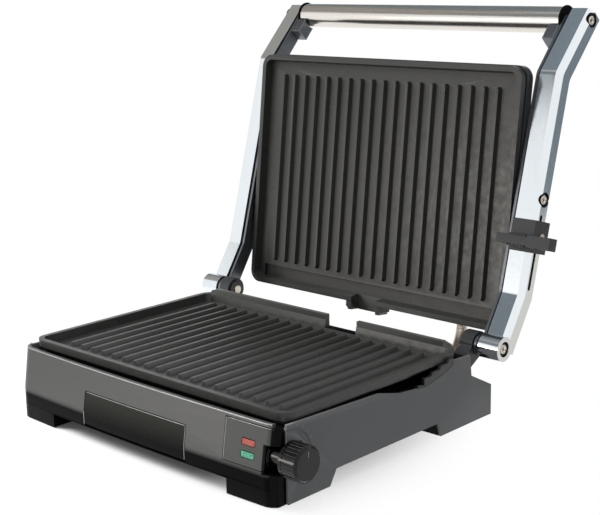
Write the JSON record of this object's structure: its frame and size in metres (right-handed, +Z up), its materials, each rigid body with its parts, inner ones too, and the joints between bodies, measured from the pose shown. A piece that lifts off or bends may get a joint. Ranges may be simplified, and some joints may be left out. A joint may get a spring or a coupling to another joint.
{
  "type": "panini press",
  "caption": "Contact grill with a ribbed plate in a low base, and an upper plate floating between kinked metal arms with a tube handle.",
  "frame": {"origin": "middle of the underside of the bounding box, on the table, with the press standing open", "axes": "+X to the right seen from the front, +Y to the rear, +Z up; the front with the drip tray faces -Y"},
  "size_m": [0.3676, 0.3697, 0.3242],
  "materials": {
    "bare_aluminium": "polished and lightly brushed",
    "black_plastic": "gloss, moulded",
    "board": "circuit board",
    "brass": "turned",
    "bright_steel": "turned",
    "cover_steel": "brushed sheet",
    "dark_steel": "dark satin",
    "fascia_metal": "satin dark grey lacquer",
    "green_lens": "clear tinted",
    "grey_plastic": "fine satin, moulded",
    "grill_coating": "cast, dark non-stick coating",
    "handle_steel": "brushed round the tube",
    "panel_plastic": "satin",
    "red_lens": "clear tinted",
    "rubber": "matt",
    "sheet_steel": "plain sheet"
  },
  "bodies": {
    "base": {"base_housing": "black_plastic", "bottom_cover": "black_plastic", "conduit": "bright_steel", "conduit_gland": "black_plastic", "control_panel": "panel_plastic", "cord_gland": "black_plastic", "front_fascia": "fascia_metal", "green_lamp_lens": "green_lens", "height_rack": "black_plastic", "indicator_board": "board", "knob_collar": "black_plastic", "left_hinge_lug": "black_plastic", "left_side_panel": "grey_plastic", "lower_grill_plate": "grill_coating", "lower_heat_reflector": "sheet_steel", "lower_heating_element": "sheet_steel", "red_lamp_lens": "red_lens", "right_hinge_lug": "black_plastic", "right_side_panel": "grey_plastic", "rubber_feet": "rubber", "terminal_block": "black_plastic", "thermostat": "sheet_steel"},
    "lid_frame": {"left_arm": "bare_aluminium", "right_arm": "bare_aluminium", "left_inner_strap": "dark_steel", "right_inner_strap": "dark_steel", "arm_spacers": "dark_steel", "hinge_pins": "bright_steel", "hinge_end_caps": "dark_steel", "pivot_pins": "bright_steel", "handle_screws": "bright_steel", "handle_tube": "handle_steel", "handle_end_rings": "black_plastic", "handle_brackets": "black_plastic"},
    "upper_plate": {"upper_grill_plate": "grill_coating", "upper_heating_element": "sheet_steel", "upper_housing": "black_plastic", "upper_cover": "cover_steel", "pivot_bushes": "brass"},
    "height_lock": {"slider_sleeve": "black_plastic", "lock_bar": "black_plastic", "slider_pin": "bright_steel"},
    "knob": {"temperature_knob": "black_plastic"},
    "tray": {"drip_tray": "black_plastic", "drip_tray_front": "fascia_metal"}
  },
  "joints": [
    {"name": "lid_hinge", "type": "hinge", "parent": "base", "child": "lid_frame", "pos_m": [-0.01375, 0.05465, 0.0625], "axis": [1, 0, 0], "range_deg": [-50, 108.93], "deforming": ["conduit"]},
    {"name": "plate_tilt", "type": "hinge", "parent": "lid_frame", "child": "upper_plate", "pos_m": [-0.01375, 0.10782, 0.17405], "axis": [1, 0, 0], "range_deg": [-12.11, 5.59]},
    {"name": "height_slide", "type": "slide", "parent": "lid_frame", "child": "height_lock", "axis": [0, -0.2724, -0.9622], "range_m": [0, 0.015]},
    {"name": "knob_turn", "type": "hinge", "parent": "base", "child": "knob", "pos_m": [0.13625, -0.16735, 0.0336], "axis": [1, 0, 0], "range_deg": [0, 270]},
    {"name": "tray_slide", "type": "slide", "parent": "base", "child": "tray", "axis": [0, -1, 0], "range_m": [0, 0.15]}
  ],
  "couplings": [
    {"joint": "plate_tilt", "follows": "lid_hinge", "ratio": -0.11073}
  ]
}
